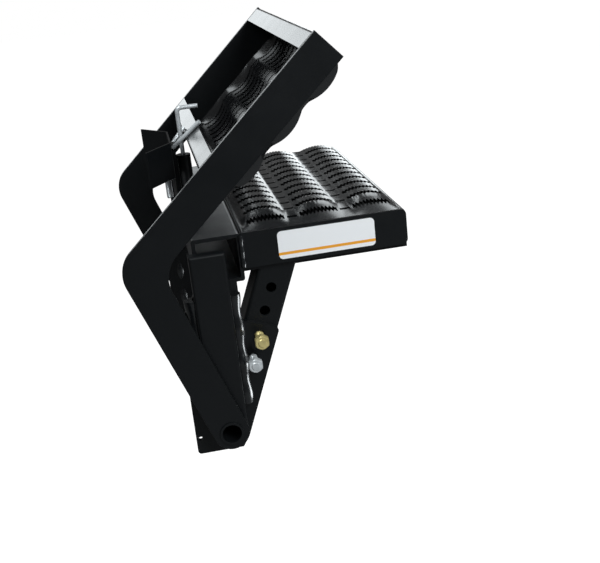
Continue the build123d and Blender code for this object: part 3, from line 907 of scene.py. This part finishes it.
def bead_tree():
    """Runs a rippled round bead along every path of a mesh of edges."""
    tree, start, end = new_tree(
        "bead_on_path",
        "GeometryNodeTree",
        [("Path", "NodeSocketGeometry"), ("Ripple", "NodeSocketFloat"), ("Stretch", "NodeSocketFloat"),
         ("Finish", "NodeSocketMaterial")],
        [("Bead", "NodeSocketGeometry")],
    )
    size = node(tree, "GeometryNodeInputNamedAttribute", data_type="FLOAT")
    size.inputs["Name"].default_value = "size"
    curve = node(tree, "GeometryNodeMeshToCurve")
    join(tree, start.outputs["Path"], curve.inputs["Mesh"])
    fine = node(tree, "GeometryNodeResampleCurve", mode="LENGTH")
    join(tree, curve.outputs["Curve"], fine.inputs["Curve"])
    fine.inputs["Length"].default_value = BEAD_STEP
    place = node(tree, "GeometryNodeSplineParameter")
    pitch = math_node(tree, "MULTIPLY", size.outputs["Attribute"], start.outputs["Stretch"])
    waves = math_node(tree, "DIVIDE", place.outputs["Length"], pitch)
    turn = math_node(tree, "MULTIPLY", waves, 2 * pi)
    swing = math_node(tree, "MULTIPLY", math_node(tree, "SINE", turn, 0.0), start.outputs["Ripple"])
    reach = math_node(tree, "MULTIPLY", math_node(tree, "ADD", swing, 1.0), size.outputs["Attribute"])
    circle = node(tree, "GeometryNodeCurvePrimitiveCircle", mode="RADIUS")
    circle.inputs["Resolution"].default_value = BEAD_SIDES
    circle.inputs["Radius"].default_value = 1.0
    skin = node(tree, "GeometryNodeCurveToMesh")
    skin.inputs["Fill Caps"].default_value = True
    join(tree, fine.outputs["Curve"], skin.inputs["Curve"])
    join(tree, reach, skin.inputs["Scale"])
    join(tree, circle.outputs["Curve"], skin.inputs["Profile Curve"])
    finish_shape(tree, skin.outputs["Mesh"], start.outputs["Finish"], end.inputs["Bead"])
    return tree


def beads(tree, name, paths, body):
    """All the beads of one body, each path given as (radius, first point, last point)."""
    settings = bpy.context.scene.receiver_step.bead
    mesh = bpy.data.meshes.new(name + "_paths")
    points = [point for size, first, last in paths for point in (first, last)]
    mesh.from_pydata(points, [(2 * row, 2 * row + 1) for row in range(len(paths))], [])
    sizes = mesh.attributes.new("size", "FLOAT", "POINT")
    for row, (size, first, last) in enumerate(paths):
        sizes.data[2 * row].value = sizes.data[2 * row + 1].value = size
    made = link_object(name, mesh)
    values = {"Ripple": settings.ripple, "Stretch": settings.stretch, "Finish": materials()["weld_coat"]}
    made.data = baked(tree, made, values, name)
    bpy.data.meshes.remove(mesh)
    work = bmesh.new()
    work.from_mesh(made.data)
    bmesh.ops.recalc_face_normals(work, faces=work.faces)
    work.to_mesh(made.data)
    work.free()
    made.data.shade_smooth()
    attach(made, body)


class RECEIVERSTEP_OT_weld_beads(bpy.types.Operator):
    """Runs weld beads along the legs, the upper step's corners and the latch"""

    bl_idname = "receiver_step.weld_beads"
    bl_label = "Weld beads"

    def execute(self, context):
        """Lays one mesh of beads on the frame and one on the folding step."""
        bead = context.scene.receiver_step.bead
        tree = bead_tree()
        paths = []
        for side, way in (("near", -1), ("far", 1)):
            low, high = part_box("leg_" + side)
            plate = way * max(abs(corner.y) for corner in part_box("side_plate_" + side))
            foot, head = low.z + LEG_BEAD_FOOT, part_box("side_plate_" + side)[1].z - LEG_BEAD_HEAD
            for edge, out in ((low.x, -1), (high.x, 1)):
                x = edge + out * BEAD_OFF_EDGE * bead.heavy
                y = plate + way * BEAD_OFF_PLATE * bead.heavy
                paths.append((bead.heavy, (x, y, foot), (x, y, head)))
            low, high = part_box("upper_end_" + side)
            end = way * max(abs(low.y), abs(high.y))
            foot, head = low.z + STEP_BEAD_INSET, high.z - STEP_BEAD_INSET
            paths.append((bead.medium, (low.x, end, foot), (low.x, end, head)))
        beads(tree, "frame_beads", paths, "frame")

        low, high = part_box("latch_bar")
        barrel_low, barrel_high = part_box("latch_barrel")
        guard_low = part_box("latch_guard")[0]
        across = (barrel_high.y - barrel_low.y) / 4
        paths = []
        for way in (-1, 1):
            x, y = high.x + BEAD_OFF_EDGE * bead.light, way * across
            foot, head = barrel_low.z + BARREL_BEAD_FOOT, barrel_high.z - LATCH_BEAD_INSET
            paths.append((bead.light, (x, y, foot), (x, y, head)))
            x, y = low.x, way * high.y
            foot, head = guard_low.z + LATCH_BEAD_INSET, high.z - LATCH_BEAD_INSET
            paths.append((bead.light, (x, y, foot), (x, y, head)))
        beads(tree, "latch_beads", paths, "folding_step")
        return {"FINISHED"}


class RECEIVERSTEP_OT_finish_frame(bpy.types.Operator):
    """Gives every carried-over piece its coat or plating"""

    bl_idname = "receiver_step.finish_frame"
    bl_label = "Finish frame"

    def execute(self, context):
        """Puts one material on each node."""
        made = materials()
        groups = ((COATED, "satin_black_coat"), (PLATED, "bright_zinc"), (("label",), "white_label"))
        for names, finish in groups:
            for name in names:
                mesh = frame["nodes"][name].data
                mesh.materials.clear()
                mesh.materials.append(made[finish])
        return {"FINISHED"}


# Studio


def seen_white(tree, dark, output):
    """White for what the camera sees, and the dark shader for all other rays."""
    path = node(tree, "ShaderNodeLightPath")
    mix = node(tree, "ShaderNodeMixShader")
    join(tree, path.outputs["Is Camera Ray"], mix.inputs[0])
    join(tree, dark, mix.inputs[1])
    join(tree, mix.outputs[0], output)
    return mix.inputs[2]


def studio_world(strength):
    """A world that looks white and lights softly."""
    world = bpy.data.worlds.new("studio")
    world.use_nodes = True
    tree = world.node_tree
    soft = tree.nodes["Background"]
    soft.inputs["Color"].default_value = (1, 1, 1, 1)
    soft.inputs["Strength"].default_value = strength
    white = node(tree, "ShaderNodeBackground")
    white.inputs["Color"].default_value = (1, 1, 1, 1)
    surface = tree.nodes["World Output"].inputs["Surface"]
    join(tree, white.outputs[0], seen_white(tree, soft.outputs[0], surface))
    bpy.context.scene.world = world


def studio_floor(drop):
    """A wide pale floor that looks white but keeps a shadow."""
    corners = [(FLOOR_REACH * x, FLOOR_REACH * y, -drop) for x, y in ((-1, -1), (1, -1), (1, 1), (-1, 1))]
    floor = link_object("floor", mesh_from("floor", corners, [(0, 1, 2, 3)]))
    material = bpy.data.materials.new("pale_floor")
    material.use_nodes = True
    tree = material.node_tree
    tree.nodes.remove(tree.nodes["Principled BSDF"])
    chalk = node(tree, "ShaderNodeBsdfDiffuse")
    chalk.inputs["Color"].default_value = (FLOOR_TONE, FLOOR_TONE, FLOOR_TONE, 1)
    glow = node(tree, "ShaderNodeEmission")
    glow.inputs["Strength"].default_value = FLOOR_GLOW
    both = node(tree, "ShaderNodeAddShader")
    join(tree, chalk.outputs[0], both.inputs[0])
    join(tree, glow.outputs[0], both.inputs[1])
    surface = tree.nodes["Material Output"].inputs["Surface"]
    join(tree, both.outputs[0], seen_white(tree, chalk.outputs[0], surface))
    floor.data.materials.append(material)


def collection_of(name, pieces):
    """A collection of pieces for a lamp to be linked to."""
    made = bpy.data.collections.new(name)
    for piece in pieces:
        made.objects.link(frame["nodes"].get(piece) or bpy.data.objects[piece])
    return made


def soft_box(name, place, target, size, power, only, clear):
    """An area lamp that the camera doesn't see, for all pieces or some, shaded by the part or clear of it."""
    lamp = bpy.data.lights.new(name, "AREA")
    lamp.shape = "RECTANGLE"
    lamp.size, lamp.size_y = size
    lamp.energy = power
    lamp.color = LAMP_TINT
    made = link_object(name, lamp)
    made.location = place
    made.rotation_euler = (Vector(target) - Vector(place)).to_track_quat("-Z", "Y").to_euler()
    made.visible_camera = False
    if only:
        made.light_linking.receiver_collection = collection_of(name + "_lit", only)
    if clear:
        made.light_linking.blocker_collection = collection_of(name + "_shaded_by", ("floor",))


class RECEIVERSTEP_OT_studio(bpy.types.Operator):
    """Makes the white studio, its lamps and the camera"""

    bl_idname = "receiver_step.studio"
    bl_label = "Studio"

    def execute(self, context):
        """Sets the stage around the step."""
        scene, studio = context.scene, context.scene.receiver_step.studio
        studio_world(WORLD_STRENGTH)
        studio_floor(studio.drop)
        for name, place, target, size, power, only, clear in LAMPS:
            soft_box(name, place, target, size, power * studio.light, only, clear)

        lens = bpy.data.cameras.new("camera")
        lens.lens = studio.lens
        lens.sensor_width = 36.0
        lens.sensor_fit = "HORIZONTAL"
        lens.clip_start, lens.clip_end = 0.01, 100.0
        camera = link_object("camera", lens)
        back = Vector(CAMERA_BACK).normalized()
        right = Vector(CAMERA_UP).cross(back).normalized()
        turned = Matrix((right, back.cross(right), back)).transposed().to_4x4()
        turned.translation = CAMERA_PLACE
        camera.matrix_world = turned
        scene.camera = camera
        scene.view_settings.view_transform = "Standard"
        return {"FINISHED"}


# Panel and registration

OPERATORS = (
    RECEIVERSTEP_OT_finish_frame, RECEIVERSTEP_OT_grip_planks, RECEIVERSTEP_OT_fasteners,
    RECEIVERSTEP_OT_weld_beads, RECEIVERSTEP_OT_studio,
)


class RECEIVERSTEP_PT_panel(bpy.types.Panel):
    """Lists the steps that dress the receiver step"""

    bl_idname = "RECEIVERSTEP_PT_panel"
    bl_label = "Receiver Step"
    bl_space_type = "VIEW_3D"
    bl_region_type = "UI"
    bl_category = "Receiver Step"

    def draw(self, context):
        """Draws one button for each operator, then the settings."""
        for operator in OPERATORS:
            self.layout.operator(operator.bl_idname)
        for group in ("tread", "fastener", "bead", "finish", "studio"):
            box = self.layout.box()
            settings = getattr(context.scene.receiver_step, group)
            for name in settings.__annotations__:
                box.prop(settings, name)


CLASSES = (
    TreadSettings, FastenerSettings, BeadSettings, FinishSettings, StudioSettings, StepSettings,
    *OPERATORS, RECEIVERSTEP_PT_panel,
)


def register():
    """Registers the classes and hangs the settings on the scene."""
    for kind in CLASSES:
        bpy.utils.register_class(kind)
    bpy.types.Scene.receiver_step = PointerProperty(type=StepSettings)


def unregister():
    """Takes the settings and classes away again."""
    del bpy.types.Scene.receiver_step
    for kind in reversed(CLASSES):
        bpy.utils.unregister_class(kind)


def main():
    """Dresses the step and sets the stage."""
    register()
    bpy.ops.receiver_step.finish_frame()
    bpy.ops.receiver_step.grip_planks()
    bpy.ops.receiver_step.fasteners()
    bpy.ops.receiver_step.weld_beads()
    bpy.ops.receiver_step.studio()


if __name__ == "__main__":
    main()
